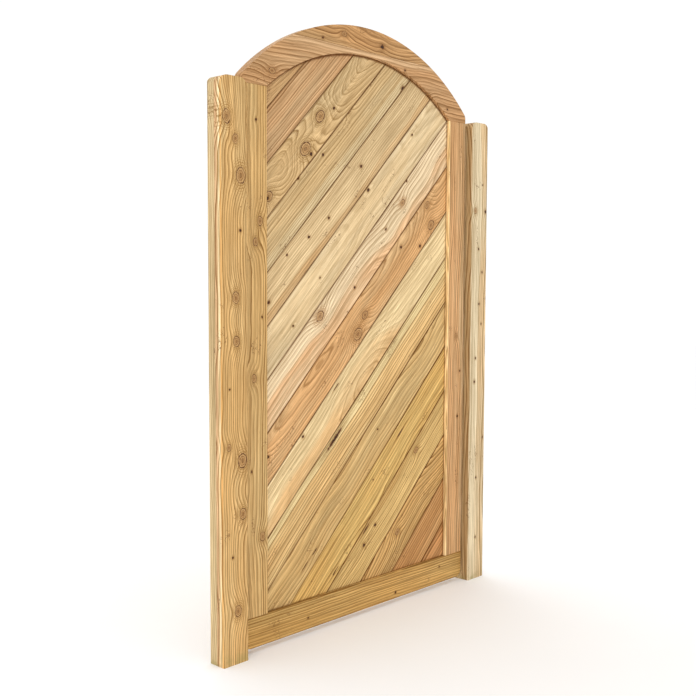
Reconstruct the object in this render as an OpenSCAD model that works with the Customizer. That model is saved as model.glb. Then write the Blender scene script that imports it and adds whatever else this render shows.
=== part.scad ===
// Arched garden gate of planed larch: two laminated posts, a framed leaf with an arched head and a
// filling of diagonal tongue-and-groove boards, two lift-off hinges and a slide bolt on the back.
// Millimetres. The origin is the centre of the hinge post's foot, on the ground.
// +X runs from the hinge post to the latch post, -Y is the front of the gate, +Z is up.

/* [Posts] */
// Width of a post, seen from the front
post_w = 88; // [70:1:100]
// Depth of a post, front to back
post_d = 60; // [58:1:90]
// Height of a post
post_h = 1590; // [1580:1:1700]
// Radius of the two rounded corners at the top of a post
post_top_r = 22; // [10:1:30]
// Rounding of a post's long edges
post_edge_r = 4; // [2:0.5:6]

/* [Leaf] */
// Width of the leaf
leaf_w = 1000; // [980:1:1020]
// Height of the leaf at the crown of the arch
leaf_h = 1800; // [1790:1:1830]
// Thickness of the leaf's frame
leaf_t = 34; // [30:1:40]
// Width of the stiles and of the bottom rail
frame_w = 88; // [80:1:95]
// Height of the joint between the stiles and the arched head, above the leaf's bottom edge
side_h = 1570; // [1560:1:1575]
// Radius of the arch's outer edge
arch_r = 707; // [690:1:740]
// Radius of the arch's inner edge
arch_inner_r = 650; // [630:1:670]
// Radius where the arch runs into the leaf's side
shoulder_r = 20; // [12:1:24]
// Radius of the leaf's two bottom corners
foot_r = 25; // [15:1:30]
// Height of the glue line between the two boards that make up the arched head
cap_glue_h = 1730; // [1725:1:1740]
// Gap between the leaf's bottom edge and the ground
leaf_clear = 15; // [10:1:20]
// Gap between the leaf and each post
side_gap = 8; // [6:0.5:10]

/* [Filling] */
// Width that one board covers
board_cover = 107; // [106:0.5:108]
// Thickness of the boards
board_t = 12; // [10:0.5:12]
// Angle of the boards above the horizontal
board_angle = 45; // [45:1:47]
// Depth of the groove around the inside of the frame
groove_depth = 15; // [13:0.5:16]

/* [Hinges] */
// Height of the lower hinge's middle above the ground
hinge_low_z = 260; // [220:1:400]
// Height of the upper hinge's middle above the ground
hinge_high_z = 1400; // [1200:1:1440]
// Height of a hinge
hinge_h = 124; // [110:1:140]
// Width of one hinge plate, from the gap outwards
hinge_plate_w = 62; // [56:1:66]
// Thickness of the hinge plates
hinge_plate_t = 3; // [2.5:0.5:3]
// Radius of a hinge pin
pin_r = 5; // [4:0.5:5]
// Outer radius of a hinge knuckle
knuckle_r = 8; // [8:0.5:8.5]

/* [Slide bolt] */
// Height of the slide bolt above the ground
bolt_z = 1050; // [900:1:1200]
// Radius of the bolt's rod
rod_r = 6; // [5:0.5:6]
// Length of the rod
rod_len = 125; // [122:1:130]
// How far the rod slides out to lock the leaf
bolt_travel = 36; // [34:1:38]

/* [Hidden] */
$fn = 96;
// play between a cutting shape and the faces that it cuts through
over = 1;

// positions of the leaf and the posts
latch_x = post_w + 2 * side_gap + leaf_w;
leaf_x = post_w / 2 + side_gap;
back_y = post_d / 2;
front_y = -post_d / 2;
leaf_front_y = back_y - leaf_t;
leaf_mid_y = back_y - leaf_t / 2;

// the head of the leaf, in the leaf's own plane
arch_c = leaf_h - arch_r;
arch_inner_c = side_h - sqrt(pow(arch_inner_r, 2) - pow(leaf_w / 2 - frame_w, 2));
shoulder_z = arch_c + sqrt(pow(arch_r - shoulder_r, 2) - pow(leaf_w / 2 - shoulder_r, 2));
shoulder_ray = 1.08;
shoulder_out_x = leaf_w / 2 - (leaf_w / 2 - shoulder_r) * shoulder_ray;
shoulder_out_z = arch_c + (shoulder_z - arch_c) * shoulder_ray;

// grooves and boards; one seam runs into the joint of the latch stile and the head
board_count = 16;
corner_seam = 6;
groove_play = 0.2;
board_end_play = 2;
board_y = leaf_mid_y - board_t / 2;
seam_gap = 0.8;
seam_bevel = 2;
tongue_t = 4;
tongue_len = 6;
tongue_play = 0.3;
corner_n = side_h * cos(board_angle) - (leaf_w - frame_w) * sin(board_angle);

// dowels in the corners of the frame
dowel_r = 5;
dowel_len = 70;
dowel_in_rail = 40;
dowel_in_head = 30;
dowel_at = [28, 58];

// hinges
hinge_x = post_w / 2 + side_gap / 2;
hinge_y = back_y + knuckle_r + 0.5;
hinge_plate_gap = 6.5;
washer_t = 2;
knuckle_play = 0.05;
running_play = 0.06;
knuckle_cap = 6;
hinge_screw_x = [18, 50];
hinge_screw_z = [16, hinge_h - 16];
hinge_corner_r = 6;

// screws
screw_r = 2.25;
screw_head_r = 4.6;
hinge_screw_len = 30;
bolt_screw_len = 25;
recess_w = 1.1;
recess_len = 5;
recess_depth = 1.6;

// slide bolt
bolt_plate_t = 3;
guide_w = 14;
guide_inset = 2;
bolt_plate_w = 2 * (guide_w + guide_inset) + bolt_travel + 12;
bolt_plate_h = 44;
bolt_plate_x = leaf_x + leaf_w - 4 - bolt_plate_w;
guide_half = 9.5;
rod_y = back_y + bolt_plate_t + 7.5;
rod_x = leaf_x + leaf_w - 3 - rod_len;
knob_neck_r = 4;
knob_x = bolt_plate_x + guide_inset + guide_w + knob_neck_r + 1;
knob_r = 9;
knob_neck_len = 20;
knob_seat = 3;
keeper_x = latch_x - post_w / 2 + 2;
keeper_w = 28;
keeper_play = 0.6;
bolt_screw_z = 15.5;
bolt_screw_inset = 20;

board_names = [for (k = [1:board_count]) str("board_", k < 10 ? "0" : "", k)];

// ---- helpers ----

// an outline drawn in the gate's plane (x, height), given depth from y0 back to y1
module upright(y0, y1) {
    translate([0, y1, 0]) rotate([90, 0, 0]) linear_extrude(height = y1 - y0) children();
}

// rounded rectangle with its lower left corner at the origin
module rounded_rect(w, h, r) {
    translate([r, 0]) square([w - 2 * r, h]);
    translate([0, r]) square([w, h - 2 * r]);
    for (x = [r, w - r]) {
        for (y = [r, h - r]) {
            translate([x, y]) circle(r);
        }
    }
}

// place a screw that points into the wood, with the face of its head at the given depth
module screw_place(x, y, z) {
    translate([x, y, z]) rotate([90, 0, 0]) children();
}

// countersunk wood screw with a cross recess: head face at z = 0, point towards +z
module wood_screw(len) {
    head_h = screw_head_r - screw_r;
    point_h = 2 * screw_r;
    difference() {
        union() {
            cylinder(h = head_h, r1 = screw_head_r, r2 = screw_r);
            cylinder(h = len - point_h, r = screw_r);
            translate([0, 0, len - point_h]) cylinder(h = point_h, r1 = screw_r, r2 = 0.2);
        }
        translate([-recess_len / 2, -recess_w / 2, -over]) cube([recess_len, recess_w, recess_depth + over]);
        translate([-recess_w / 2, -recess_len / 2, -over]) cube([recess_w, recess_len, recess_depth + over]);
    }
}

// the space that such a screw takes in the plate and in the wood
module screw_hole(len) {
    cylinder(h = screw_head_r - screw_r, r1 = screw_head_r, r2 = screw_r);
    cylinder(h = len + over, r = screw_r);
}

// ---- posts ----

// front or back half of a post: a section with rounded outer edges, under the rounded top outline
module post_ply(x, front) {
    half = post_d / 2;
    translate([x - post_w / 2, 0, 0]) intersection() {
        linear_extrude(height = post_h) intersection() {
            translate([0, front_y]) rounded_rect(post_w, post_d, post_edge_r);
            translate([-over, front ? -half - over : 0]) square([post_w + 2 * over, half + over]);
        }
        upright(front_y - over, back_y + over) union() {
            square([post_w, post_h - post_top_r]);
            translate([post_top_r, 0]) square([post_w - 2 * post_top_r, post_h]);
            for (cx = [post_top_r, post_w - post_top_r]) {
                translate([cx, post_h - post_top_r]) circle(post_top_r);
            }
        }
    }
}

module hinge_post_front_ply() {
    color("tan") post_ply(0, true);
}

module hinge_post_back_ply() {
    color("wheat") difference() {
        post_ply(0, false);
        for (z = [hinge_low_z, hinge_high_z]) {
            hinge_screws(z, -1) screw_hole(hinge_screw_len);
        }
    }
}

module latch_post_front_ply() {
    color("tan") post_ply(latch_x, true);
}

module latch_post_back_ply() {
    color("wheat") difference() {
        post_ply(latch_x, false);
        keeper_screw_places() screw_hole(bolt_screw_len);
    }
}

// ---- leaf frame, drawn in the leaf's own plane ----

module in_leaf(y0, y1) {
    translate([leaf_x, 0, leaf_clear]) upright(y0, y1) children();
}

// the opening inside the frame, grown by a margin: the panel's and the groove's outline
module opening_outline(grow) {
    inset = frame_w - grow;
    translate([inset, inset]) square([leaf_w - 2 * inset, arch_inner_c - inset]);
    intersection() {
        translate([inset, arch_inner_c - over]) square([leaf_w - 2 * inset, leaf_h]);
        translate([leaf_w / 2, arch_inner_c]) circle(arch_inner_r + grow, $fn = 180);
    }
}

// groove that holds the boards' ends
module frame_groove() {
    in_leaf(board_y - groove_play, board_y + board_t + groove_play) opening_outline(groove_depth);
}

module dowels(r, len_extra) {
    for (side = [0, 1]) {
        for (d = dowel_at) {
            x = leaf_x + (side == 0 ? d : leaf_w - d);
            low_z = leaf_clear + frame_w - dowel_in_rail - len_extra / 2;
            high_z = leaf_clear + side_h + dowel_in_head - dowel_len - len_extra / 2;
            translate([x, leaf_mid_y, low_z]) cylinder(h = dowel_len + len_extra, r = r);
            translate([x, leaf_mid_y, high_z]) cylinder(h = dowel_len + len_extra, r = r);
        }
    }
}

module stile(x) {
    difference() {
        translate([x, leaf_front_y, leaf_clear + frame_w]) cube([frame_w, leaf_t, side_h - frame_w]);
        frame_groove();
        dowels(dowel_r, 2);
    }
}

module hinge_stile() {
    color("burlywood") difference() {
        stile(leaf_x);
        for (z = [hinge_low_z, hinge_high_z]) {
            hinge_screws(z, 1) screw_hole(hinge_screw_len);
        }
    }
}

module latch_stile() {
    color("burlywood") difference() {
        stile(leaf_x + leaf_w - frame_w);
        bolt_screw_places() screw_hole(bolt_screw_len);
    }
}

module bottom_rail() {
    color("burlywood") difference() {
        in_leaf(leaf_front_y, back_y) union() {
            translate([foot_r, 0]) square([leaf_w - 2 * foot_r, frame_w]);
            translate([0, foot_r]) square([leaf_w, frame_w - foot_r]);
            for (x = [foot_r, leaf_w - foot_r]) {
                translate([x, foot_r]) circle(foot_r);
            }
        }
        frame_groove();
        dowels(dowel_r, 2);
    }
}

// everything under the arch's outer edge and above the joint with the stiles
module head_outline() {
    translate([0, side_h]) square([leaf_w, shoulder_z - side_h]);
    for (x = [shoulder_r, leaf_w - shoulder_r]) {
        translate([x, shoulder_z]) circle(shoulder_r);
    }
    intersection() {
        translate([leaf_w / 2, arch_c]) circle(arch_r, $fn = 180);
        polygon([
            [shoulder_r, side_h],
            [shoulder_r, shoulder_z],
            [shoulder_out_x, shoulder_out_z],
            [shoulder_out_x, leaf_h + over],
            [leaf_w - shoulder_out_x, leaf_h + over],
            [leaf_w - shoulder_out_x, shoulder_out_z],
            [leaf_w - shoulder_r, shoulder_z],
            [leaf_w - shoulder_r, side_h]
        ]);
    }
}

module arch_head() {
    color("peru") difference() {
        in_leaf(leaf_front_y, back_y) difference() {
            intersection() {
                head_outline();
                translate([-over, side_h]) square([leaf_w + 2 * over, cap_glue_h - side_h]);
            }
            translate([leaf_w / 2, arch_inner_c]) circle(arch_inner_r, $fn = 180);
        }
        frame_groove();
        dowels(dowel_r, 2);
    }
}

module arch_cap() {
    color("burlywood") difference() {
        in_leaf(leaf_front_y, back_y) intersection() {
            translate([leaf_w / 2, arch_c]) circle(arch_r, $fn = 180);
            translate([0, cap_glue_h]) square([leaf_w, leaf_h]);
        }
        frame_groove();
    }
}

module frame_dowels() {
    color("wheat") dowels(dowel_r, 0);
}

// ---- diagonal boards ----

// distance of a seam from the leaf's lower left corner, square to the boards
function seam_n(k) = corner_n + (corner_seam - k) * board_cover;

// section of a board: n runs across the board, y through its thickness, bevels along both faces
module board_section(n0, n1, tongue, groove) {
    y0 = board_y;
    y1 = board_y + board_t;
    b = seam_bevel;
    tongue_y0 = board_y + board_t / 2 - tongue_t / 2;
    tongue_y1 = tongue_y0 + tongue_t;
    difference() {
        union() {
            polygon([[n0 + b, y0], [n1 - b, y0], [n1, y0 + b], [n1, y1 - b],
                     [n1 - b, y1], [n0 + b, y1], [n0, y1 - b], [n0, y0 + b]]);
            if (tongue) {
                translate([n1 - over, tongue_y0]) square([tongue_len + over, tongue_t]);
            }
        }
        if (groove) {
            translate([n0 - over, tongue_y0 - tongue_play / 2])
                square([tongue_len + over + 2 * tongue_play, tongue_t + tongue_play]);
        }
    }
}

// board k, counted from the top left: its section swept along the slope, cut to the frame's groove
module board(k) {
    n0 = seam_n(k) + seam_gap / 2;
    n1 = seam_n(k - 1) - seam_gap / 2;
    n_mid = (n0 + n1) / 2;
    along = (leaf_w / 2 + n_mid * sin(board_angle)) / cos(board_angle);
    intersection() {
        translate([leaf_x + along * cos(board_angle), 0, leaf_clear + along * sin(board_angle)])
            rotate([0, 270 - board_angle, 0])
            linear_extrude(height = 1.3 * leaf_w / cos(board_angle), center = true)
            board_section(n0, n1, k > 1, k < board_count);
        in_leaf(board_y - over, board_y + board_t + over) opening_outline(groove_depth - board_end_play);
    }
}

module board_piece(k) {
    shades = ["burlywood", "wheat", "tan", "navajowhite", "sandybrown"];
    color(shades[k % len(shades)]) board(k);
}

// ---- hinges ----

// a child at each of the four screw places of one hinge plate: side is -1 on the post, 1 on the leaf
module hinge_screws(z, side) {
    for (dx = hinge_screw_x) {
        for (dz = hinge_screw_z) {
            screw_place(hinge_x + side * (hinge_plate_gap + dx), back_y + hinge_plate_t, z - hinge_h / 2 + dz)
                children();
        }
    }
}

// plate on the back of the post or leaf, with the tab that reaches the pin's axis at the knuckle
module hinge_plate(z, side, knuckle_z0, knuckle_z1) {
    low_z = z - hinge_h / 2;
    x0 = side > 0 ? hinge_x + hinge_plate_gap : hinge_x - hinge_plate_gap - hinge_plate_w;
    tab_x = side > 0 ? hinge_x : hinge_x - hinge_plate_gap - hinge_corner_r;
    translate([x0, 0, low_z]) upright(back_y, back_y + hinge_plate_t)
        rounded_rect(hinge_plate_w, hinge_h, hinge_corner_r);
    translate([tab_x, back_y, low_z + knuckle_z0])
        cube([hinge_plate_gap + hinge_corner_r, hinge_plate_t, knuckle_z1 - knuckle_z0]);
    translate([hinge_x, hinge_y, low_z + knuckle_z0]) cylinder(h = knuckle_z1 - knuckle_z0, r = knuckle_r);
}

// post half: lower knuckle, which holds the pin
module hinge_post_plate(z) {
    mid = hinge_h / 2 - washer_t / 2;
    difference() {
        hinge_plate(z, -1, 0, mid - knuckle_play);
        translate([hinge_x, hinge_y, z - hinge_h / 2 + knuckle_cap]) cylinder(h = hinge_h, r = pin_r);
        hinge_screws(z, -1) screw_hole(hinge_screw_len);
    }
}

// leaf half: upper knuckle, closed at the top, which lifts off the pin
module hinge_leaf_plate(z) {
    mid = hinge_h / 2 + washer_t / 2;
    difference() {
        hinge_plate(z, 1, mid + knuckle_play, hinge_h);
        translate([hinge_x, hinge_y, z]) cylinder(h = hinge_h / 2 - knuckle_cap, r = pin_r + running_play);
        hinge_screws(z, 1) screw_hole(hinge_screw_len);
    }
}

module hinge_pin(z) {
    tip_h = 3;
    pin_h = hinge_h - 2 * knuckle_cap - 2;
    translate([hinge_x, hinge_y, z - hinge_h / 2 + knuckle_cap]) {
        cylinder(h = pin_h - tip_h, r = pin_r);
        translate([0, 0, pin_h - tip_h]) cylinder(h = tip_h, r1 = pin_r, r2 = pin_r - 2);
    }
}

module hinge_washer(z) {
    translate([hinge_x, hinge_y, z - washer_t / 2]) difference() {
        cylinder(h = washer_t, r = knuckle_r);
        translate([0, 0, -over]) cylinder(h = washer_t + 2 * over, r = pin_r + 0.3);
    }
}

module upper_hinge_post_plate() {
    color("lightsteelblue") hinge_post_plate(hinge_high_z);
}

module upper_hinge_pin() {
    color("silver") hinge_pin(hinge_high_z);
}

module upper_hinge_washer() {
    color("goldenrod") hinge_washer(hinge_high_z);
}

module upper_hinge_leaf_plate() {
    color("lightsteelblue") hinge_leaf_plate(hinge_high_z);
}

module lower_hinge_post_plate() {
    color("lightsteelblue") hinge_post_plate(hinge_low_z);
}

module lower_hinge_pin() {
    color("silver") hinge_pin(hinge_low_z);
}

module lower_hinge_washer() {
    color("goldenrod") hinge_washer(hinge_low_z);
}

module lower_hinge_leaf_plate() {
    color("lightsteelblue") hinge_leaf_plate(hinge_low_z);
}

module hinge_post_screws() {
    color("silver") for (z = [hinge_low_z, hinge_high_z]) {
        hinge_screws(z, -1) wood_screw(hinge_screw_len);
    }
}

module hinge_leaf_screws() {
    color("silver") for (z = [hinge_low_z, hinge_high_z]) {
        hinge_screws(z, 1) wood_screw(hinge_screw_len);
    }
}

// ---- slide bolt ----

module bolt_screw_places() {
    for (dx = [bolt_screw_inset, bolt_plate_w - bolt_screw_inset]) {
        for (dz = [-bolt_screw_z, bolt_screw_z]) {
            screw_place(bolt_plate_x + dx, back_y + bolt_plate_t, bolt_z + dz) children();
        }
    }
}

module keeper_screw_places() {
    for (dz = [-bolt_screw_z, bolt_screw_z]) {
        screw_place(keeper_x + keeper_w / 2, back_y + bolt_plate_t, bolt_z + dz) children();
    }
}

// pressed loop that the rod runs through, bored along x
module guide(x) {
    translate([x, back_y + bolt_plate_t / 2, bolt_z - guide_half])
        cube([guide_w, rod_y - back_y - bolt_plate_t / 2, 2 * guide_half]);
    translate([x, rod_y, bolt_z]) rotate([0, 90, 0]) cylinder(h = guide_w, r = guide_half);
}

module rod_bore(x, len, r) {
    translate([x, rod_y, bolt_z]) rotate([0, 90, 0]) cylinder(h = len, r = r);
}

module bolt_plate() {
    color("lightsteelblue") difference() {
        union() {
            translate([bolt_plate_x, 0, bolt_z - bolt_plate_h / 2]) upright(back_y, back_y + bolt_plate_t)
                rounded_rect(bolt_plate_w, bolt_plate_h, 4);
            guide(bolt_plate_x + guide_inset);
            guide(bolt_plate_x + bolt_plate_w - guide_w - guide_inset);
        }
        rod_bore(bolt_plate_x - over, bolt_plate_w + 2 * over, rod_r + running_play);
        bolt_screw_places() screw_hole(bolt_screw_len);
    }
}

module bolt_plate_screws() {
    color("silver") bolt_screw_places() wood_screw(bolt_screw_len);
}

module bolt_rod() {
    tip = 2;
    color("silver") difference() {
        union() {
            rod_bore(rod_x, rod_len - tip, rod_r);
            translate([rod_x + rod_len - tip, rod_y, bolt_z]) rotate([0, 90, 0])
                cylinder(h = tip, r1 = rod_r, r2 = rod_r - 1.5);
        }
        translate([knob_x, rod_y + rod_r - knob_seat, bolt_z]) rotate([-90, 0, 0])
            cylinder(h = knob_seat + over, r = knob_neck_r - 1);
    }
}

// knob that is screwed into the rod and moves between the two guides
module bolt_knob() {
    color("silver") translate([knob_x, rod_y + rod_r, bolt_z]) rotate([-90, 0, 0]) {
        translate([0, 0, -knob_seat]) cylinder(h = knob_seat + over, r = knob_neck_r - 1);
        cylinder(h = knob_neck_len, r = knob_neck_r);
        translate([0, 0, knob_neck_len + knob_r - 1.5]) sphere(knob_r);
    }
}

module bolt_keeper() {
    color("lightsteelblue") difference() {
        union() {
            translate([keeper_x, 0, bolt_z - bolt_plate_h / 2]) upright(back_y, back_y + bolt_plate_t)
                rounded_rect(keeper_w, bolt_plate_h, 4);
            guide(keeper_x + keeper_w / 2 - guide_w / 2);
        }
        rod_bore(keeper_x - over, keeper_w + 2 * over, rod_r + keeper_play);
        keeper_screw_places() screw_hole(bolt_screw_len);
    }
}

module bolt_keeper_screws() {
    color("silver") keeper_screw_places() wood_screw(bolt_screw_len);
}

// ---- nodes ----

hinge_post_front_ply();
hinge_post_back_ply();
latch_post_front_ply();
latch_post_back_ply();
hinge_stile();
latch_stile();
bottom_rail();
arch_head();
arch_cap();
frame_dowels();
for (k = [1:board_count]) {
    board_piece(k);
}
upper_hinge_post_plate();
upper_hinge_pin();
upper_hinge_washer();
upper_hinge_leaf_plate();
lower_hinge_post_plate();
lower_hinge_pin();
lower_hinge_washer();
lower_hinge_leaf_plate();
hinge_post_screws();
hinge_leaf_screws();
bolt_plate();
bolt_plate_screws();
bolt_rod();
bolt_knob();
bolt_keeper();
bolt_keeper_screws();
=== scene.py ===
"""Arched garden gate of planed larch: procedural wood on every board and post, galvanised fittings on
the back, a pale floor and soft studio light. Metres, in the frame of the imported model."""

import math

import bmesh
import bpy
from mathutils import Matrix, Vector


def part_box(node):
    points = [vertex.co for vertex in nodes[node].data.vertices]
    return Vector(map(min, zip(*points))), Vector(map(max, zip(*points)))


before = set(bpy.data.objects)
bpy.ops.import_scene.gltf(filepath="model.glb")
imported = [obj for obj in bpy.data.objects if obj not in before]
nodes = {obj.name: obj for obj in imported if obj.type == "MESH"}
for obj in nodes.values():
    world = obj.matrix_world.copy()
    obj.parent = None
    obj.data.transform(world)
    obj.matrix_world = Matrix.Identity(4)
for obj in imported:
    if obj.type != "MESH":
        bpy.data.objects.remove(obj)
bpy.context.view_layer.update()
scene = bpy.context.scene

X, Z = Vector((1, 0, 0)), Vector((0, 0, 1))
# the boards rise to the right at 45 degrees, and are counted across that
RISE = Vector((1, 0, 1)).normalized()
ACROSS = Vector((-1, 0, 1)).normalized()


def middle(name):
    """The middle of a CAD node's box."""
    low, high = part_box(name)
    return (Vector(low) + Vector(high)) / 2


def srgb(red, green, blue):
    """A colour given in 0-255 sRGB, as the linear value that a shader takes."""

    def linear(c):
        c = c / 255
        return c / 12.92 if c <= 0.04045 else ((c + 0.055) / 1.055) ** 2.4

    return (linear(red), linear(green), linear(blue), 1.0)


# ---- node trees -------------------------------------------------------------------------------


class Graph:
    """Short hand for building one node tree."""

    def __init__(self, tree):
        self.tree = tree

    def add(self, kind, **settings):
        node = self.tree.nodes.new(kind)
        for key, value in settings.items():
            setattr(node, key, value)
        return node

    def feed(self, socket, value):
        """Links a socket to an input, or sets the input's own value."""
        if isinstance(value, bpy.types.NodeSocket):
            self.tree.links.new(value, socket)
        else:
            socket.default_value = value

    def math(self, operation, *values, clamp=False):
        node = self.add("ShaderNodeMath", operation=operation, use_clamp=clamp)
        for socket, value in zip(node.inputs, values):
            self.feed(socket, value)
        return node.outputs[0]

    def vector(self, operation, *values):
        node = self.add("ShaderNodeVectorMath", operation=operation)
        for socket, value in zip(node.inputs, values):
            self.feed(socket, value)
        scalar = operation in ("LENGTH", "DOT_PRODUCT", "DISTANCE")
        return node.outputs["Value" if scalar else "Vector"]

    def combine(self, *values):
        node = self.add("ShaderNodeCombineXYZ")
        for socket, value in zip(node.inputs, values):
            self.feed(socket, value)
        return node.outputs[0]

    def separate(self, vector):
        node = self.add("ShaderNodeSeparateXYZ")
        self.feed(node.inputs[0], vector)
        return node.outputs

    def mix(self, factor, a, b, blend="MIX"):
        """Colour a, and b over it by the factor."""
        node = self.add("ShaderNodeMix", data_type="RGBA", blend_type=blend)
        self.feed(node.inputs["Factor"], factor)
        self.feed(node.inputs[6], a)
        self.feed(node.inputs[7], b)
        return node.outputs[2]

    def noise(self, vector, scale=1.0, detail=2.0, roughness=0.5, output="Fac"):
        node = self.add("ShaderNodeTexNoise")
        self.feed(node.inputs["Vector"], vector)
        self.feed(node.inputs["Scale"], scale)
        self.feed(node.inputs["Detail"], detail)
        self.feed(node.inputs["Roughness"], roughness)
        return node.outputs[output]

    def centred(self, noise):
        """A noise that runs from 0 to 1, moved to run from -0.5 to 0.5."""
        return self.math("SUBTRACT", noise, 0.5)

    def step(self, value, low, high, to_low=0.0, to_high=1.0):
        """A smooth step of value between low and high."""
        node = self.add("ShaderNodeMapRange", interpolation_type="SMOOTHSTEP")
        names = ("Value", "From Min", "From Max", "To Min", "To Max")
        for name, setting in zip(names, (value, low, high, to_low, to_high)):
            self.feed(node.inputs[name], setting)
        return node.outputs["Result"]

    def band(self, value, rise, risen, fall, fallen):
        """1 where value is between risen and fall, and smoothly 0 outside rise and fallen."""
        return self.math("MULTIPLY", self.step(value, rise, risen), self.step(value, fall, fallen, 1.0, 0.0))

    def group(self, tree, **values):
        node = self.add("ShaderNodeGroup", node_tree=tree)
        for key, value in values.items():
            self.feed(node.inputs[key], value)
        return node.outputs


def new_group(name, inputs, outputs):
    """An empty node group with these sockets, and its graph, input sockets and output node."""
    tree = bpy.data.node_groups.new(name, "ShaderNodeTree")
    for socket, kind in inputs:
        tree.interface.new_socket(socket, in_out="INPUT", socket_type="NodeSocket" + kind)
    for socket, kind in outputs:
        tree.interface.new_socket(socket, in_out="OUTPUT", socket_type="NodeSocket" + kind)
    graph = Graph(tree)
    return tree, graph, graph.add("NodeGroupInput").outputs, graph.add("NodeGroupOutput").inputs


def new_material(name):
    """A material, its graph, its shader and the socket for the position on the piece."""
    material = bpy.data.materials.new(name)
    material.use_nodes = True
    g = Graph(material.node_tree)
    shader = material.node_tree.nodes["Principled BSDF"]
    return material, g, shader, g.add("ShaderNodeTexCoord").outputs["Object"]


def emboss(g, shader, height, strength, depth):
    """Gives the shader a bump of this depth in metres."""
    bump = g.add("ShaderNodeBump")
    bump.inputs["Strength"].default_value = strength
    bump.inputs["Distance"].default_value = depth
    g.feed(bump.inputs["Height"], height)
    g.feed(shader.inputs["Normal"], bump.outputs["Normal"])


def dress(name, material):
    """Gives a CAD node its material."""
    mesh = nodes[name].data
    mesh.materials.clear()
    mesh.materials.append(material)


# ---- larch, as a node group -------------------------------------------------------------------

# how fast each pattern of the wood changes along, across and through a piece, per metre
PATTERN = {
    "wander": (1.6, 0.0, 0.0),
    "ripple": (7.0, 26.0, 26.0),
    "fade": (4.0, 30.0, 30.0),
    "cloud": (2.2, 13.0, 13.0),
    "streak": (1.1, 70.0, 70.0),
    "fibre": (9.0, 330.0, 330.0),
    "duct": (48.0, 700.0, 700.0),
    "mark": (20.0, 60.0, 60.0),
    "curl": (55.0, 85.0, 85.0),
    "curled_area": (11.0, 26.0, 26.0),
    "ragged": (120.0, 170.0, 170.0),
    "broken": (50.0, 60.0, 60.0),
}
# how far the pith wanders and a ring ripples, and how soft the heartwood's border is, in metres
WANDER = (0.0, 0.11, 0.10)
RIPPLE = 0.006
HEART_EDGE = 0.012

# how much each pattern lightens or darkens the wood
FIBRE_SHADE, STREAK_SHADE, CLOUD_SHADE, EARLY_SHADE = 1.5, 4.8, 0.6, 0.22

# marks, the eye of a knot from its middle outwards, and a pin knot
GREYED, BARK = srgb(140, 118, 84), srgb(112, 74, 38)
EYE_CORE, EYE_INNER, EYE_OUTER = srgb(84, 50, 24), srgb(162, 114, 64), srgb(196, 154, 102)
EYE_RINGS, EYE_RIM = srgb(108, 66, 32), srgb(92, 54, 24)
PIN_CORE, PIN_EDGE = srgb(52, 30, 14), srgb(112, 68, 34)


def pattern(g, placed, name, detail, roughness, output="Fac"):
    """One noise of the wood, drawn out along its grain."""
    return g.noise(g.vector("MULTIPLY", placed, PATTERN[name]), 1.0, detail, roughness, output)


def year_rings(g, placed, given):
    """The distance from the pith, and how strong the late and the early wood of a year are."""
    # the pith wanders along the piece, which draws the long pointed arches on a flat-sawn face
    wander = pattern(g, placed, "wander", 2.0, 0.5, "Color")
    wander = g.vector("MULTIPLY", g.vector("SUBTRACT", wander, (0.5, 0.5, 0.5)), WANDER)
    wander = g.vector("MULTIPLY", wander, g.combine(given["Flame"], given["Flame"], given["Flame"]))
    from_pith = g.vector("SUBTRACT", g.vector("SUBTRACT", given["Grain"], given["Pith"]), wander)
    radius = g.vector("LENGTH", g.vector("MULTIPLY", from_pith, (0.0, 1.0, 1.0)))
    ripple = g.math("MULTIPLY", g.centred(pattern(g, placed, "ripple", 3.0, 0.55)), RIPPLE)
    radius = g.math("ADD", g.math("ADD", radius, ripple), given["Pushed"])

    # the years are unevenly wide and their late wood is unevenly dark
    years = g.math("DIVIDE", radius, given["Ring"])
    uneven = g.noise(g.combine(g.math("MULTIPLY", years, 0.45), given["Seed"], 0.0), 1.0, 1.0, 0.5)
    years = g.math("ADD", years, g.math("MULTIPLY", uneven, 1.6))
    phase = g.math("FRACT", years)
    year = g.add("ShaderNodeTexWhiteNoise", noise_dimensions="2D")
    g.feed(year.inputs["Vector"], g.combine(g.math("FLOOR", years), given["Seed"], 0.0))
    strength = g.math("MULTIPLY_ADD", year.outputs["Value"], 0.75, 0.25)

    # where a ring lies flat in the face its late wood is only a thin outline
    steepness = g.math("DIVIDE", g.math("ABSOLUTE", g.separate(from_pith)[1]), radius)
    late = g.band(phase, g.step(steepness, 0.0, 0.5, 0.8, 0.54), 0.9, 0.93, 1.0)
    early = g.band(phase, 0.0, 0.12, 0.2, 0.5)

    # in places, fainter lines divide a year in three
    thirds = g.band(g.math("FRACT", g.math("MULTIPLY", years, 3.0)), 0.45, 0.85, 0.88, 1.0)
    fade = pattern(g, placed, "fade", 2.0, 0.5)
    thirds = g.math("MULTIPLY", thirds, g.step(fade, 0.4, 0.62, 0.0, 0.5))
    late = g.math("MAXIMUM", g.math("MULTIPLY", late, strength), thirds)
    return radius, g.math("MULTIPLY", late, given["Lines"]), g.math("MULTIPLY", early, given["Lines"])


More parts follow.
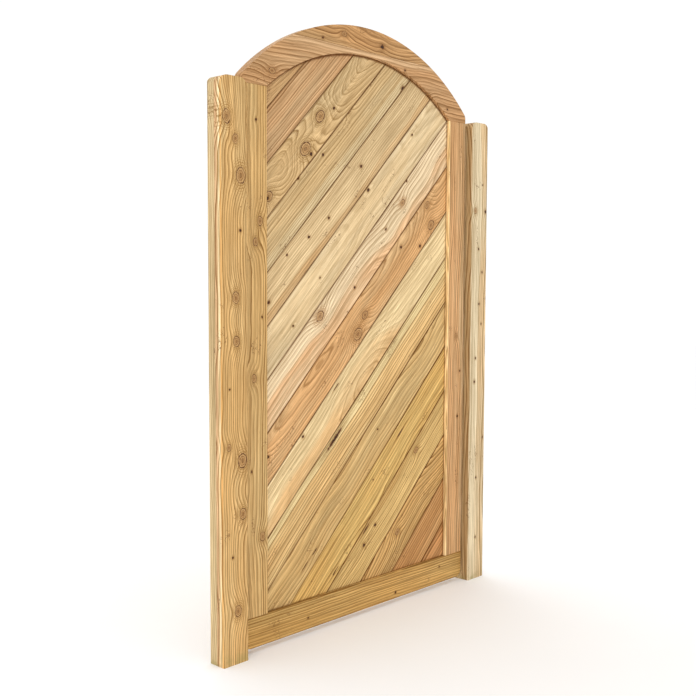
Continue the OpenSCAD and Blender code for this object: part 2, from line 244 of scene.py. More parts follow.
def sound_wood(g, placed, given, radius, late, early):
    """The colour of wood without faults, and its fibres."""
    heart = g.step(radius, given["Heart"], g.math("ADD", given["Heart"], HEART_EDGE), 1.0, 0.0)
    cloud = pattern(g, placed, "cloud", 3.0, 0.55)
    warmth = g.math("MULTIPLY", heart, g.step(cloud, 0.3, 0.62, 0.3, 1.0))
    colour = g.mix(warmth, given["Pale"], given["Warm"])
    streak = g.math("MULTIPLY", g.centred(pattern(g, placed, "streak", 3.0, 0.65)), given["Streaks"])
    fibre = pattern(g, placed, "fibre", 4.0, 0.7)
    shade = g.math("MULTIPLY_ADD", g.centred(fibre), FIBRE_SHADE, 1.0)
    shade = g.math("ADD", shade, g.math("MULTIPLY", streak, STREAK_SHADE))
    shade = g.math("ADD", shade, g.math("MULTIPLY", g.centred(cloud), CLOUD_SHADE))
    shade = g.math("MULTIPLY_ADD", early, EARLY_SHADE, shade)
    # dark wood is warmer, so green and blue fall off faster than red
    shade = g.combine(shade, g.math("POWER", shade, 1.12), g.math("POWER", shade, 1.35))
    colour = g.mix(1.0, colour, shade, "MULTIPLY")
    return g.mix(g.math("MULTIPLY", late, 1.0, clamp=True), colour, given["Late"]), fibre


def small_marks(g, placed, given, colour):
    """Adds short resin ducts, greyish marks here and there, and thin dark scribbles of ingrown bark."""
    duct = pattern(g, placed, "duct", 1.0, 0.4)
    colour = g.mix(g.step(duct, 0.72, 0.8, 0.0, 0.5), colour, given["Late"])
    mark = pattern(g, placed, "mark", 4.0, 0.6)
    colour = g.mix(g.step(mark, 0.67, 0.76, 0.0, 0.35), colour, GREYED)
    curl = g.math("ABSOLUTE", g.centred(pattern(g, placed, "curl", 2.0, 0.5)))
    area = g.step(pattern(g, placed, "curled_area", 1.0, 0.5), 0.63, 0.7, 0.0, 0.8)
    return g.mix(g.math("MULTIPLY", g.step(curl, 0.006, 0.022, 1.0, 0.0), area), colour, BARK)


def draw_knots(g, placed, given, colour):
    """Adds knots with a warm, ringed eye inside a broken dark rim, and black pin knots, also returned."""
    ragged = g.centred(pattern(g, placed, "ragged", 3.0, 0.6))
    knot = g.math("MULTIPLY_ADD", ragged, 0.55, given["Knot"])
    halo = g.step(knot, 0.9, 2.6, 0.45, 0.0)
    colour = g.mix(halo, colour, g.mix(0.3, given["Warm"], given["Late"]))
    rings = g.band(g.math("FRACT", g.math("MULTIPLY", knot, 2.9)), 0.5, 0.85, 0.9, 1.0)
    around = g.math("MULTIPLY", g.step(rings, 0.1, 0.8), g.step(knot, 1.3, 2.9, 0.85, 0.0))
    colour = g.mix(around, colour, given["Late"])

    eye = g.mix(g.step(knot, 0.1, 1.0), EYE_INNER, EYE_OUTER)
    eye = g.mix(g.math("MULTIPLY", rings, 0.9), eye, EYE_RINGS)
    eye = g.mix(g.step(knot, 0.1, 0.34, 0.7, 0.0), eye, EYE_CORE)
    colour = g.mix(g.step(knot, 0.95, 1.1, 0.7, 0.0), colour, eye)
    broken = g.step(pattern(g, placed, "broken", 1.0, 0.5), 0.34, 0.52, 0.4, 1.0)
    colour = g.mix(g.math("MULTIPLY", g.band(knot, 0.86, 1.0, 1.02, 1.2), broken), colour, EYE_RIM)

    pin = g.math("MULTIPLY_ADD", ragged, 1.7, given["Pin"])
    colour = g.mix(g.step(pin, 1.0, 2.6, 0.4, 0.0), colour, given["Late"])
    core = g.step(pin, 0.7, 1.15, 1.0, 0.0)
    return g.mix(core, colour, g.mix(g.step(pin, 0.1, 1.0), PIN_CORE, PIN_EDGE)), core


def larch_group():
    """Larch: coordinates along, across and through a piece, to colour, height and roughness."""
    tree, g, given, out = new_group(
        "larch",
        [
            ("Grain", "Vector"), ("Pith", "Vector"), ("Seed", "Float"), ("Ring", "Float"),
            ("Pushed", "Float"), ("Knot", "Float"), ("Pin", "Float"),
            ("Pale", "Color"), ("Warm", "Color"), ("Late", "Color"),
            ("Heart", "Float"), ("Lines", "Float"), ("Streaks", "Float"), ("Flame", "Float"),
        ],
        [("Color", "Color"), ("Height", "Float"), ("Roughness", "Float")],
    )
    seed = given["Seed"]
    apart = g.combine(g.math("MULTIPLY", seed, 3.7), seed, g.math("MULTIPLY", seed, 1.9))
    placed = g.vector("ADD", given["Grain"], apart)
    radius, late, early = year_rings(g, placed, given)
    colour, fibre = sound_wood(g, placed, given, radius, late, early)
    colour = small_marks(g, placed, given, colour)
    colour, pin = draw_knots(g, placed, given, colour)
    g.feed(out["Color"], colour)
    # late wood and fibres stand up a little, and a pin knot is a small pit
    height = g.math("MULTIPLY_ADD", late, 0.6, g.math("MULTIPLY", fibre, 0.6))
    g.feed(out["Height"], g.math("SUBTRACT", height, g.math("MULTIPLY", pin, 1.4)))
    rough = g.math("MULTIPLY_ADD", fibre, 0.2, 0.48)
    g.feed(out["Roughness"], g.math("SUBTRACT", rough, g.math("MULTIPLY", late, 0.1)))
    return tree


def knot_group():
    """One knot: its distance in knot radii, and how far it pushes the year rings aside."""
    tree, g, given, out = new_group(
        "knot",
        [
            ("Grain", "Vector"), ("Place", "Vector"), ("Stretch", "Vector"), ("Push", "Float"),
            ("Nearest", "Float"), ("Pushed", "Float"),
        ],
        [("Nearest", "Float"), ("Pushed", "Float")],
    )
    offset = g.vector("SUBTRACT", given["Grain"], given["Place"])
    distance = g.vector("LENGTH", g.vector("MULTIPLY", offset, given["Stretch"]))
    falloff = g.math("EXPONENT", g.math("MULTIPLY", g.math("MULTIPLY", distance, distance), -0.11))
    g.feed(out["Nearest"], g.math("MINIMUM", distance, given["Nearest"]))
    g.feed(out["Pushed"], g.math("MULTIPLY_ADD", falloff, given["Push"], given["Pushed"]))
    return tree


KNOT = knot_group()
LARCH = larch_group()

# kind of knot: how many times it is as long as wide, and how far it pushes the rings, in its radii;
# a ring knot has an eye, a pin knot is small and black, and a slit is a resin pocket
KNOT_KINDS = {"ring": (1.4, 1.5), "pin": (1.15, 0.6), "slit": (9.0, 0.2)}
# the distance to the nearest knot on wood that has none, in knot radii
NO_KNOT = 9.0

# ---- larch on one piece -----------------------------------------------------------------------

WOOD_GLOSS, WOOD_RELIEF = 0.18, 0.0006
# painted shade for the boards' seams and the frame's edges, and the green of damp
PAINTED_SHADE, ALGAE = srgb(108, 62, 6), srgb(150, 140, 84)
# how soft the border of a layer of another tone is
LAYER_EDGE = 0.0015

# the visible width of a board, the distances from a seam over which its painted shade fades, and how
# unevenly the painted shade ends elsewhere
COVER = 0.107
SEAM_SHADE = (0.0012, 0.0042)
SHADE_WOBBLE = 0.004
# where one of the seams lies, counted across the boards: at the latch stile's upper inner corner
STILE_LOW, STILE_HIGH = (Vector(corner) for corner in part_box("latch_stile"))
SEAM = ACROSS.dot(Vector((STILE_LOW.x, 0, STILE_HIGH.z)))
# the arched top of the opening that the boards fill
ARCH_CENTRE, ARCH_RADIUS = Vector((0.552, 0, 1.0831)), 0.65


def place_knots(g, flat, knots, centre, along, across):
    """The distance to the nearest ring knot, that to the nearest pin knot or slit, and the total push."""
    nearest = {"ring": NO_KNOT, "pin": NO_KNOT}
    pushed = 0.0
    for x, z, size, kind in knots:
        place = Vector((x, centre.y, z)) - centre
        stretch, push = KNOT_KINDS[kind]
        which = "ring" if kind == "ring" else "pin"
        out = g.group(
            KNOT,
            Grain=flat,
            Place=(place.dot(along), place.dot(across), 0.0),
            Stretch=(1 / (size * stretch), 1 / size, 0.0),
            Push=push * size,
            Nearest=nearest[which],
            Pushed=pushed,
        )
        nearest[which], pushed = out["Nearest"], out["Pushed"]
    return nearest["ring"], nearest["pin"], pushed


def shades(tone, blush):
    """The pale, warm and late wood of a piece whose middle tone is this, in 0-255 sRGB."""
    red, green, blue, _ = srgb(*tone)
    pale = (red * 1.14, green * 1.22, blue * 1.34, 1.0)
    warm = (red * 1.02, green * (1.0 - 0.16 * blush), blue * (0.94 - 0.2 * blush), 1.0)
    late = (red * 0.47, green * (0.36 - 0.06 * blush), blue * 0.15, 1.0)
    return pale, warm, late


def add_layers(g, position, colour, tone, layers):
    """Tints slices of a piece, which are seen on its sides, with a wood tone, painted shade or a painted
    highlight: (axis, near, far, tone, strength).
    """
    for axis, near, far, other, strength in layers:
        drift = g.math("MULTIPLY", g.centred(g.noise(position, 5.0, 1.0)), 0.15 * (far - near))
        depth = g.math("ADD", drift, g.separate(position)[axis])
        inside = g.band(depth, near, near + LAYER_EDGE, far - LAYER_EDGE, far)
        ratio = tuple(a / b for a, b in zip(srgb(*other), srgb(*tone)))
        tinted = g.mix(1.0, colour, ratio, "MULTIPLY")
        colour = g.mix(g.math("MULTIPLY", inside, strength), colour, tinted)
    return colour


def add_damp(g, position, colour, reach):
    """Adds greenish blotches from the ground up to this height."""
    height = g.separate(position)[2]
    blotch = g.noise(position, 26.0, 4.0, 0.6)
    damp = g.math("MULTIPLY", g.step(height, 0.0, reach, 1.0, 0.0), g.step(blotch, 0.38, 0.62))
    return g.mix(g.math("MULTIPLY", damp, 0.55), colour, ALGAE)


def recess_shade(g, position):
    """How much painted shade a board has along its seams and where it meets the frame."""
    across = g.vector("DOT_PRODUCT", position, tuple(ACROSS))
    across = g.math("DIVIDE", g.math("SUBTRACT", across, SEAM), COVER)
    seam = g.math("MULTIPLY", g.math("PINGPONG", across, 0.5), COVER)
    x, _, z = g.separate(position)
    out = g.vector("MULTIPLY", g.vector("SUBTRACT", position, tuple(ARCH_CENTRE)), (1.0, 0.0, 1.0))
    under_arch = g.math("SUBTRACT", ARCH_RADIUS, g.vector("LENGTH", out))
    under_arch = g.math("MAXIMUM", under_arch, g.math("SUBTRACT", STILE_HIGH.z, z))
    wobble = g.math("MULTIPLY", g.centred(g.noise(position, 60.0, 3.0, 0.6)), SHADE_WOBBLE)
    # distance to a contact, how dark its painted shade is and how far it reaches
    contacts = [
        (g.math("SUBTRACT", x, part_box("hinge_stile")[1][0]), 0.9, 0.0105),
        (g.math("SUBTRACT", STILE_LOW.x, x), 0.6, 0.0075),
        (g.math("SUBTRACT", z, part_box("bottom_rail")[1][2]), 0.55, 0.0045),
        (under_arch, 0.92, 0.0105),
    ]
    # the painted shade in the seams is darker in places, and towards the latch side
    depth = g.math("MULTIPLY_ADD", g.noise(position, 4.0, 2.0, 0.6), 1.1, g.math("MULTIPLY", x, 0.3))
    line = g.step(seam, *SEAM_SHADE, g.math("MULTIPLY", depth, 1.0, clamp=True), 0.0)
    for distance, strength, reach in contacts:
        near = g.step(g.math("ADD", distance, wobble), reach / 3, reach, strength, 0.0)
        line = g.math("MAXIMUM", line, near)
    return line


def larch(
    node, along, across, pith, ring, tone,
    blush=0.5, heart=1.0, lines=0.8, streaks=0.2, flame=1.0, knots=(), green=0.0, layers=(),
):
    """Gives a CAD node its larch. Pith is the place of the log's heart, across and behind the centre,
    ring the width of a year, tone the middle colour and blush how red the heartwood is. Heart is the
    heartwood's radius and flame how much the pith wanders. A knot is (x, z, radius, kind) on the gate's
    face. Green is the height of the damp at the foot. Layers are slices of another tone, some of them
    painted shade or a painted highlight."""
    material, g, shader, position = new_material(node)
    centre = middle(node)
    offset = g.vector("SUBTRACT", position, tuple(centre))
    axes = [g.vector("DOT_PRODUCT", offset, tuple(axis)) for axis in (along, across, along.cross(across))]
    flat = g.combine(axes[0], axes[1], 0.0)
    knot, pin, pushed = place_knots(g, flat, knots, centre, along, across)
    pale, warm, late = shades(tone, blush)
    wood = g.group(
        LARCH,
        Grain=g.combine(*axes),
        Pith=(0.0, pith[0], pith[1]),
        Seed=sum(ord(c) * (i + 3) for i, c in enumerate(node)) % 97 / 7.0,
        Ring=ring,
        Pushed=pushed,
        Knot=knot,
        Pin=pin,
        Pale=pale,
        Warm=warm,
        Late=late,
        Heart=heart,
        Lines=lines,
        Streaks=streaks,
        Flame=flame,
    )
    colour = add_layers(g, position, wood["Color"], tone, layers)
    # boards get painted shade along their seams and where they meet the frame
    if along is RISE:
        colour = g.mix(recess_shade(g, position), colour, PAINTED_SHADE)
    if green:
        colour = add_damp(g, position, colour, green)
    g.feed(shader.inputs["Base Color"], colour)
    g.feed(shader.inputs["Roughness"], wood["Roughness"])
    shader.inputs["Specular IOR Level"].default_value = WOOD_GLOSS
    emboss(g, shader, wood["Height"], 0.4, WOOD_RELIEF)
    dress(node, material)


# ---- metal ------------------------------------------------------------------------------------

# per metre: the crystals of a zinc coat, and the scratches, which are drawn out upwards
CRYSTALS = 190.0
SCRATCHES = (2200.0, 300.0, 90.0)
METAL_RELIEF = 0.0002


def metal(name, colour, roughness, spangle):
    """Zinc-coated or bare metal: mottled crystals of slightly different tone, and fine scratches."""
    material, g, shader, position = new_material(name)
    cells = g.add("ShaderNodeTexVoronoi")
    g.feed(cells.inputs["Vector"], position)
    cells.inputs["Scale"].default_value = CRYSTALS
    tone = g.separate(cells.outputs["Color"])[0]
    cloud = g.noise(position, 60.0, 4.0, 0.6)
    scratch = g.noise(g.vector("MULTIPLY", position, SCRATCHES), 1.0, 2.0, 0.6)
    shade = g.math("MULTIPLY_ADD", g.centred(tone), spangle, 1.0)
    shade = g.math("ADD", shade, g.math("MULTIPLY", g.centred(cloud), 0.25))
    g.feed(shader.inputs["Base Color"], g.mix(1.0, colour, g.combine(shade, shade, shade), "MULTIPLY"))
    rough = g.math("MULTIPLY_ADD", cloud, 0.2, roughness - 0.1)
    g.feed(shader.inputs["Roughness"], g.math("MULTIPLY_ADD", tone, 0.5 * spangle, rough))
    shader.inputs["Metallic"].default_value = 1.0
    emboss(g, shader, g.math("ADD", scratch, cloud), 0.2, METAL_RELIEF)
    return material


# ---- rounded edges ----------------------------------------------------------------------------

# edges that turn more than this are sharp
SHARP = math.radians(40)
# faces that differ by less than this are one flat face
FLAT = math.radians(0.2)
WELD = 0.00001


def geometry_group(name):
    """An empty node group for a modifier, and its graph, its geometry input and its geometry output."""
    tree = bpy.data.node_groups.new(name, "GeometryNodeTree")
    for way in ("INPUT", "OUTPUT"):
        tree.interface.new_socket("Geometry", in_out=way, socket_type="NodeSocketGeometry")
    g = Graph(tree)
    return tree, g, g.add("NodeGroupInput").outputs[0], g.add("NodeGroupOutput").inputs[0]


def sharp_edges(g):
    """1 on every edge that is sharp."""
    angle = g.add("GeometryNodeInputMeshEdgeAngle").outputs["Unsigned Angle"]
    return g.math("GREATER_THAN", angle, SHARP)


def store_on_edges(g, geometry, name, kind, value):
    """Keeps a value on every edge under this name."""
    store = g.add("GeometryNodeStoreNamedAttribute", data_type=kind, domain="EDGE")
    g.feed(store.inputs["Geometry"], geometry)
    store.inputs["Name"].default_value = name
    g.feed(store.inputs["Value"], value)
    return store.outputs["Geometry"]


def arris_group(shortest):
    """Welds a CAD mesh and weights the long sharp edges around its front and its back, to be rounded."""
    tree, g, given, out = geometry_group("arrises")
    weld = g.add("GeometryNodeMergeByDistance")
    g.feed(weld.inputs["Geometry"], given)
    weld.inputs["Distance"].default_value = WELD
    welded = weld.outputs["Geometry"]
    ends = g.add("GeometryNodeInputMeshEdgeVertices").outputs
    length = g.vector("DISTANCE", ends["Position 1"], ends["Position 2"])
    long = g.math("GREATER_THAN", length, shortest)
    box = g.add("GeometryNodeBoundBox")
    g.feed(box.inputs["Geometry"], welded)
    first, second = g.separate(ends["Position 1"])[1], g.separate(ends["Position 2"])[1]
    flush = []
    for corner in ("Min", "Max"):
        plane = g.separate(box.outputs[corner])[1]
        off = [g.math("ABSOLUTE", g.math("SUBTRACT", end, plane)) for end in (first, second)]
        flush.append(g.math("LESS_THAN", g.math("ADD", *off), 2 * WELD))
    rounded = g.math("MULTIPLY", g.math("MULTIPLY", sharp_edges(g), long), g.math("MAXIMUM", *flush))
    weighted = store_on_edges(g, welded, "bevel_weight_edge", "FLOAT", rounded)
    smooth = g.add("GeometryNodeSetShadeSmooth")
    g.feed(smooth.inputs[0], weighted)
    g.feed(out, smooth.outputs[0])
    return tree


def crease_group():
    """Marks the edges that are still sharp after the rounding, so that they are shaded as edges."""
    tree, g, given, out = geometry_group("creases")
    g.feed(out, store_on_edges(g, given, "sharp_edge", "BOOLEAN", sharp_edges(g)))
    return tree


# the rims of screw holes have shorter edges than 1.5 mm and stay as they are
ARRISES = {"plain": arris_group(2 * WELD), "drilled": arris_group(0.0015)}
CREASES = crease_group()


def soften(name, width, kind="drilled"):
    """Rounds the long sharp edges of a CAD node."""
    node = nodes[name]
    node.modifiers.new("weld", "NODES").node_group = ARRISES[kind]
    merge = node.modifiers.new("merge_flat", "DECIMATE")
    merge.decimate_type = "DISSOLVE"
    merge.angle_limit = FLAT
    bevel = node.modifiers.new("arris", "BEVEL")
    bevel.width = width
    bevel.segments = 3
    bevel.limit_method = "WEIGHT"
    bevel.use_clamp_overlap = False
    node.modifiers.new("creases", "NODES").node_group = CREASES
    normals = node.modifiers.new("normals", "WEIGHTED_NORMAL")
    normals.weight = 90
    normals.keep_sharp = True


# ---- posts ------------------------------------------------------------------------------------

# how wide the rounded edges are
POST_ARRIS, FRAME_ARRIS, PLATE_ARRIS = 0.0008, 0.0018, 0.0005


def posts():
    """Each post is glued up from a front and a back ply, which show as two tones on its sides;
    slices of the front plies also carry painted shade and a painted highlight.
    """
    larch(
        "hinge_post_front_ply", Z, X, (0.066, -0.06), 0.0066, (203, 165, 108),
        blush=0.2, heart=0.118, lines=1.2, flame=0.42, green=0.05,
        knots=[
            (-0.026, 1.482, 0.013, "ring"), (0.004, 1.426, 0.009, "ring"), (0.022, 1.331, 0.015, "ring"),
            (0.02, 1.185, 0.004, "pin"), (0.003, 1.005, 0.011, "ring"), (0.005, 0.888, 0.01, "ring"),
            (-0.023, 0.603, 0.007, "ring"), (0.024, 0.562, 0.014, "ring"), (0.025, 0.415, 0.011, "ring"),
            (0.007, 0.148, 0.011, "ring"), (-0.02, 0.76, 0.003, "pin"), (-0.012, 0.3, 0.0035, "pin"),
        ],
        layers=[
            (1, -0.0285, -0.022, (206, 152, 84), 0.8),
            # the pale slice is a painted highlight behind the front arris; the others are tones of the ply
            (1, -0.022, -0.012, (222, 194, 146), 0.8),
            (1, -0.012, 0.006, (196, 152, 106), 0.9),
        ],
    )
    larch(
        "hinge_post_back_ply", Z, X, (0.02, 0.11), 0.007, (190, 160, 112),
        blush=0.3, heart=0.08, lines=0.9, streaks=0.35, flame=0.7, green=0.05,
        knots=[
            (-0.03, 1.5, 0.009, "ring"), (0.01, 1.2, 0.008, "ring"), (0.0, 0.5, 0.01, "ring"),
            (0.02, 0.8, 0.004, "pin"),
        ],
    )
    larch(
        "latch_post_front_ply", Z, X, (0.06, -0.06), 0.0075, (208, 184, 143),
        blush=0.4, heart=0.07, lines=1.0, streaks=0.3, flame=0.6, green=0.03,
        knots=[
            (1.09, 0.782, 0.004, "pin"), (1.084, 0.7, 0.005, "pin"), (1.1, 0.148, 0.004, "pin"),
            (1.08, 1.29, 0.007, "ring"), (1.138, 1.29, 0.006, "pin"), (1.1, 1.16, 0.004, "pin"),
            (1.122, 1.08, 0.004, "pin"), (1.106, 0.97, 0.004, "pin"), (1.12, 0.9, 0.0035, "pin"),
            (1.12, 1.38, 0.003, "pin"), (1.135, 0.5, 0.004, "pin"), (1.1, 0.36, 0.004, "pin"),
        ],
        # the tan slice is painted shade: the leaf's shadow on the post's inner side
        layers=[(1, -0.027, 0.006, (172, 134, 84), 0.85)],
    )
    larch(
        "latch_post_back_ply", Z, X, (-0.03, 0.09), 0.0055, (205, 172, 122),
        blush=0.4, heart=0.09, lines=0.6, flame=0.8, green=0.03,
        knots=[(1.1, 1.36, 0.009, "ring"), (1.12, 0.84, 0.007, "ring"), (1.08, 0.4, 0.004, "pin")],
    )
    for name in ("hinge_post_front_ply", "latch_post_front_ply"):
        soften(name, POST_ARRIS, "plain")
    for name in ("hinge_post_back_ply", "latch_post_back_ply"):
        soften(name, POST_ARRIS)


# ---- frame of the leaf ------------------------------------------------------------------------


def leaf_frame():
    """Two stiles, the bottom rail, and the arched head of two boards glued together."""
    larch(
        "hinge_stile", Z, X, (-0.04, -0.08), 0.0062, (196, 160, 104),
        blush=0.2, heart=0.13, lines=1.25, flame=0.5,
        knots=[
            (0.114, 1.215, 0.009, "ring"), (0.097, 1.157, 0.008, "ring"), (0.1, 1.49, 0.004, "pin"),
            (0.09, 0.78, 0.008, "ring"), (0.12, 0.33, 0.009, "ring"), (0.08, 0.52, 0.0035, "pin"),
            (0.12, 0.95, 0.0035, "pin"),
        ],
    )
    larch(
        "latch_stile", Z, X, (-0.1, -0.06), 0.0085, (199, 161, 114),
        blush=0.6, heart=0.14, lines=1.15, streaks=0.3, flame=0.8,
        knots=[(1.011, 0.861, 0.006, "ring"), (1.022, 0.583, 0.0045, "pin"), (1.035, 0.74, 0.004, "pin")],
        # the pale slice is a painted highlight on the stile's inner face, as if lit from the left
        layers=[(0, 0.96, 0.9685, (242, 216, 160), 1.0)],
    )
    larch(
        "bottom_rail", X, Z, (0.16, 0.05), 0.0085, (188, 149, 86),
        blush=0.2, heart=0.25, lines=1.2, streaks=0.26, flame=0.25,
        knots=[(0.93, 0.072, 0.0035, "pin"), (0.3, 0.05, 0.0035, "pin"), (0.7, 0.035, 0.004, "pin")],
    )
    larch(
        "arch_head", X, Z, (-0.12, 0.12), 0.008, (187, 146, 101),
        blush=0.35, heart=0.2, lines=1.05, flame=1.1,
        knots=[
            (0.16, 1.63, 0.008, "ring"), (0.85, 1.655, 0.006, "ring"), (0.73, 1.715, 0.004, "pin"),
            (0.95, 1.62, 0.0035, "pin"),
        ],
    )
    larch(
        "arch_cap", X, Z, (0.05, 0.08), 0.0075, (182, 142, 93),
        blush=0.5, heart=0.14, lines=1.1, flame=1.0,
        knots=[(0.62, 1.77, 0.008, "pin"), (0.36, 1.755, 0.004, "pin"), (0.45, 1.78, 0.007, "ring")],
    )
    larch("frame_dowels", Z, X, (0.0, 0.05), 0.003, (214, 182, 130), lines=0.3)
    for name in ("bottom_rail", "arch_head", "arch_cap"):
        soften(name, FRAME_ARRIS, "plain")
    for name in ("hinge_stile", "latch_stile"):
        soften(name, FRAME_ARRIS)


# ---- diagonal boards --------------------------------------------------------------------------

# from the top left to the bottom right: pith, ring width, tone, and what differs from the rest
BOARDS = [
    ((0.09, 0.05), 0.006, (192, 156, 107), dict(lines=0.7)),
    ((0.16, 0.03), 0.0078, (188, 153, 108), dict(blush=0.8, lines=1.0, flame=0.35)),
    ((0.06, 0.09), 0.0048, (200, 169, 121), dict(
        blush=0.2, lines=0.9, flame=0.9,
        knots=[
            (0.36, 1.53, 0.014, "ring"), (0.3, 1.43, 0.016, "ring"), (0.418, 1.56, 0.005, "pin"),
            (0.322, 1.418, 0.006, "pin"), (0.155, 1.285, 0.012, "ring"), (0.152, 1.28, 0.005, "pin"),
        ],
    )),
    ((0.12, 0.07), 0.0065, (196, 167, 120), dict(
        blush=0.2, lines=0.85, flame=0.3, heart=0.12,
        knots=[
            (0.372, 1.42, 0.0045, "pin"), (0.27, 1.345, 0.005, "pin"), (0.732, 1.66, 0.008, "pin"),
            (0.48, 1.56, 0.007, "ring"),
        ],
    )),
    ((-0.1, 0.09), 0.0065, (200, 167, 118), dict(
        lines=0.7, flame=0.5, heart=0.13,
        knots=[
            (0.397, 1.236, 0.0045, "pin"), (0.314, 1.178, 0.0045, "pin"), (0.226, 1.124, 0.0035, "pin"),
            (0.537, 1.4, 0.0055, "pin"), (0.155, 0.99, 0.005, "pin"),
        ],
    )),
    ((0.06, 0.2), 0.0075, (214, 187, 143), dict(
        blush=0.1, lines=0.55, flame=0.7, streaks=0.16,
        knots=[
            (0.57, 1.33, 0.006, "pin"), (0.25, 0.92, 0.004, "pin"), (0.36, 1.06, 0.003, "pin"),
            (0.78, 1.52, 0.004, "pin"),
        ],
    )),
    ((-0.08, 0.1), 0.0085, (214, 184, 140), dict(
        blush=0.9, lines=0.8, flame=1.0, heart=0.115,
        knots=[
            (0.36, 0.946, 0.012, "ring"), (0.735, 1.3, 0.009, "ring"), (0.655, 1.213, 0.0045, "pin"),
            (0.51, 1.03, 0.0045, "pin"), (0.755, 1.37, 0.004, "pin"),
        ],
    )),
    ((0.04, 0.075), 0.0062, (206, 165, 113), dict(
        blush=0.5, lines=1.0, flame=1.1, heart=0.2,
        knots=[
            (0.526, 0.886, 0.015, "ring"), (0.558, 0.944, 0.01, "ring"), (0.882, 1.235, 0.012, "ring"),
            (0.86, 1.3, 0.009, "ring"), (0.729, 1.158, 0.005, "pin"), (0.825, 1.164, 0.0055, "pin"),
            (0.15, 0.55, 0.006, "pin"),
        ],
    )),
    ((-0.07, 0.11), 0.009, (217, 185, 132), dict(
        blush=0.6, lines=0.55, flame=1.2, heart=0.11,
        knots=[(0.29, 0.593, 0.005, "pin"), (0.5, 0.82, 0.002, "slit"), (0.43, 0.73, 0.0018, "slit")],
    )),
    ((-0.14, 0.04), 0.0105, (207, 177, 121), dict(
        blush=0.6, lines=1.0, streaks=0.35, flame=0.35, heart=0.16,
        knots=[(0.4235, 0.571, 0.0056, "slit"), (0.417, 0.5645, 0.0052, "pin")],
    )),
    ((0.07, 0.13), 0.009, (199, 165, 109), dict(
        blush=0.2, lines=1.0, flame=0.8,
        knots=[
            (0.34, 0.242, 0.002, "slit"), (0.298, 0.205, 0.002, "slit"), (0.62, 0.58, 0.003, "pin"),
            (0.85, 0.87, 0.004, "pin"),
        ],
    )),
    ((-0.12, 0.06), 0.0075, (203, 166, 98), dict(
        blush=0.3, lines=1.0, streaks=0.3, flame=0.4,
        knots=[(0.73, 0.555, 0.0028, "slit"), (0.426, 0.16, 0.0022, "slit"), (0.6, 0.42, 0.0025, "pin")],
    )),
    ((0.07, 0.1), 0.0065, (197, 158, 95), dict(
        blush=0.3, lines=1.0, streaks=0.28, flame=1.0, heart=0.13,
        knots=[
            (0.61, 0.273, 0.005, "pin"), (0.558, 0.218, 0.006, "pin"), (0.567, 0.268, 0.0025, "slit"),
            (0.813, 0.489, 0.008, "ring"), (0.68, 0.4, 0.0025, "slit"),
        ],
    )),
    ((0.03, 0.075), 0.0075, (193, 154, 95), dict(
        blush=0.3, lines=1.3, streaks=0.28, flame=1.4, knots=[(0.72, 0.23, 0.008, "ring")],
    )),
    ((0.13, 0.05), 0.0095, (182, 137, 84), dict(blush=0.4, lines=1.3, streaks=0.3, flame=0.4)),
    ((0.05, 0.1), 0.009, (184, 135, 83), dict(blush=0.4, lines=1.3, streaks=0.3)),
]


def diagonal_boards():
    """The sixteen boards that fill the frame, each from a log of its own."""
    for number, (pith, ring, tone, more) in enumerate(BOARDS, 1):
        larch(f"board_{number:02d}", RISE, ACROSS, pith, ring, tone, **more)


# ---- fittings ---------------------------------------------------------------------------------


def fittings():
    """Two hinges, the slide bolt with its keeper, and all their screws."""
    galvanised = metal("galvanised", srgb(176, 180, 184), 0.42, 0.22)
    zinc = metal("zinc_plated", srgb(196, 198, 200), 0.3, 0.08)
    ground_steel = metal("ground_steel", srgb(188, 189, 191), 0.25, 0.05)
    brass = metal("brass", srgb(200, 162, 88), 0.32, 0.08)
    plates = ["bolt_plate", "bolt_keeper"]
    for side in ("upper", "lower"):
        plates += [f"{side}_hinge_post_plate", f"{side}_hinge_leaf_plate"]
        dress(f"{side}_hinge_pin", ground_steel)
        dress(f"{side}_hinge_washer", brass)
    for name in plates:
        dress(name, galvanised)
        soften(name, PLATE_ARRIS)
    screws = ("hinge_post_screws", "hinge_leaf_screws", "bolt_plate_screws", "bolt_keeper_screws")
    for name in ("bolt_rod", "bolt_knob", *screws):
        dress(name, zinc)


# ---- studio -----------------------------------------------------------------------------------

FLOOR_RADIUS = 14.0
GATE_FOOT, GATE_MIDDLE = (0.55, 0.0, 0.0), (0.55, 0.0, 0.9)


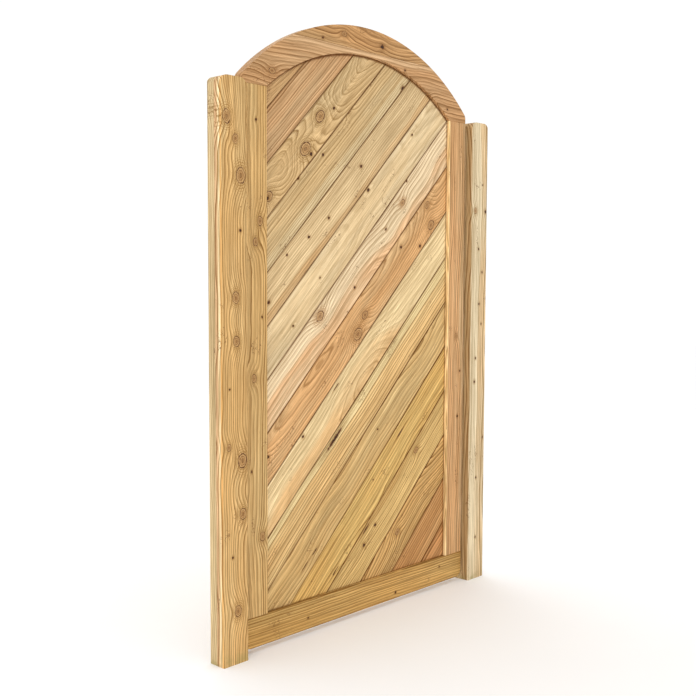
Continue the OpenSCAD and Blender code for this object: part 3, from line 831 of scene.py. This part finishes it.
def floor():
    """A wide pale disc under the gate."""
    mesh = bpy.data.meshes.new("floor")
    shape = bmesh.new()
    bmesh.ops.create_circle(shape, cap_ends=True, segments=96, radius=FLOOR_RADIUS)
    shape.to_mesh(mesh)
    shape.free()
    disc = bpy.data.objects.new("floor", mesh)
    scene.collection.objects.link(disc)
    disc.location = GATE_FOOT
    material, g, shader, position = new_material("floor")
    shade = g.noise(position, 3.0, 3.0, 0.5)
    g.feed(shader.inputs["Base Color"], g.mix(shade, srgb(255, 255, 255), srgb(252, 252, 252)))
    shader.inputs["Roughness"].default_value = 0.9
    mesh.materials.append(material)


def softbox(name, place, size, power):
    """A square area light that looks at the middle of the gate."""
    light = bpy.data.lights.new(name, "AREA")
    light.shape = "RECTANGLE"
    light.size = light.size_y = size
    light.energy = power
    lamp = bpy.data.objects.new(name, light)
    scene.collection.objects.link(lamp)
    lamp.location = place
    lamp.rotation_euler = (Vector(GATE_MIDDLE) - Vector(place)).to_track_quat("-Z", "Y").to_euler()


def studio_light():
    """An even white surround, a soft key light at the front left and a fill behind the gate."""
    softbox("key", (-3.8, -2.2, 2.6), 2.0, 34.0)
    softbox("back_fill", (2.5, 3.5, 3.0), 3.0, 24.0)
    world = bpy.data.worlds.new("studio")
    scene.world = world
    world.use_nodes = True
    background = world.node_tree.nodes["Background"]
    background.inputs["Color"].default_value = (1.0, 1.0, 1.0, 1.0)
    background.inputs["Strength"].default_value = 1.03
    scene.view_settings.view_transform = "Standard"


def photo_camera():
    """The camera, at the photograph's viewing angle: from the front left, looking slightly down."""
    camera = bpy.data.cameras.new("camera")
    camera.lens = 52.0
    camera.sensor_width = 36.0
    camera.clip_end = 100.0
    eye = bpy.data.objects.new("camera", camera)
    scene.collection.objects.link(eye)
    place = (-1.7543, -2.0925, 1.0618)
    turn, drop, lean = math.radians(46.8), math.radians(4.04), math.radians(0.18)
    eye.matrix_world = (
        Matrix.Translation(place)
        @ Matrix.Rotation(-turn, 4, "Z")
        @ Matrix.Rotation(math.pi / 2 - drop, 4, "X")
        @ Matrix.Rotation(lean, 4, "Z")
    )
    scene.camera = eye


posts()
leaf_frame()
diagonal_boards()
fittings()
floor()
studio_light()
photo_camera()
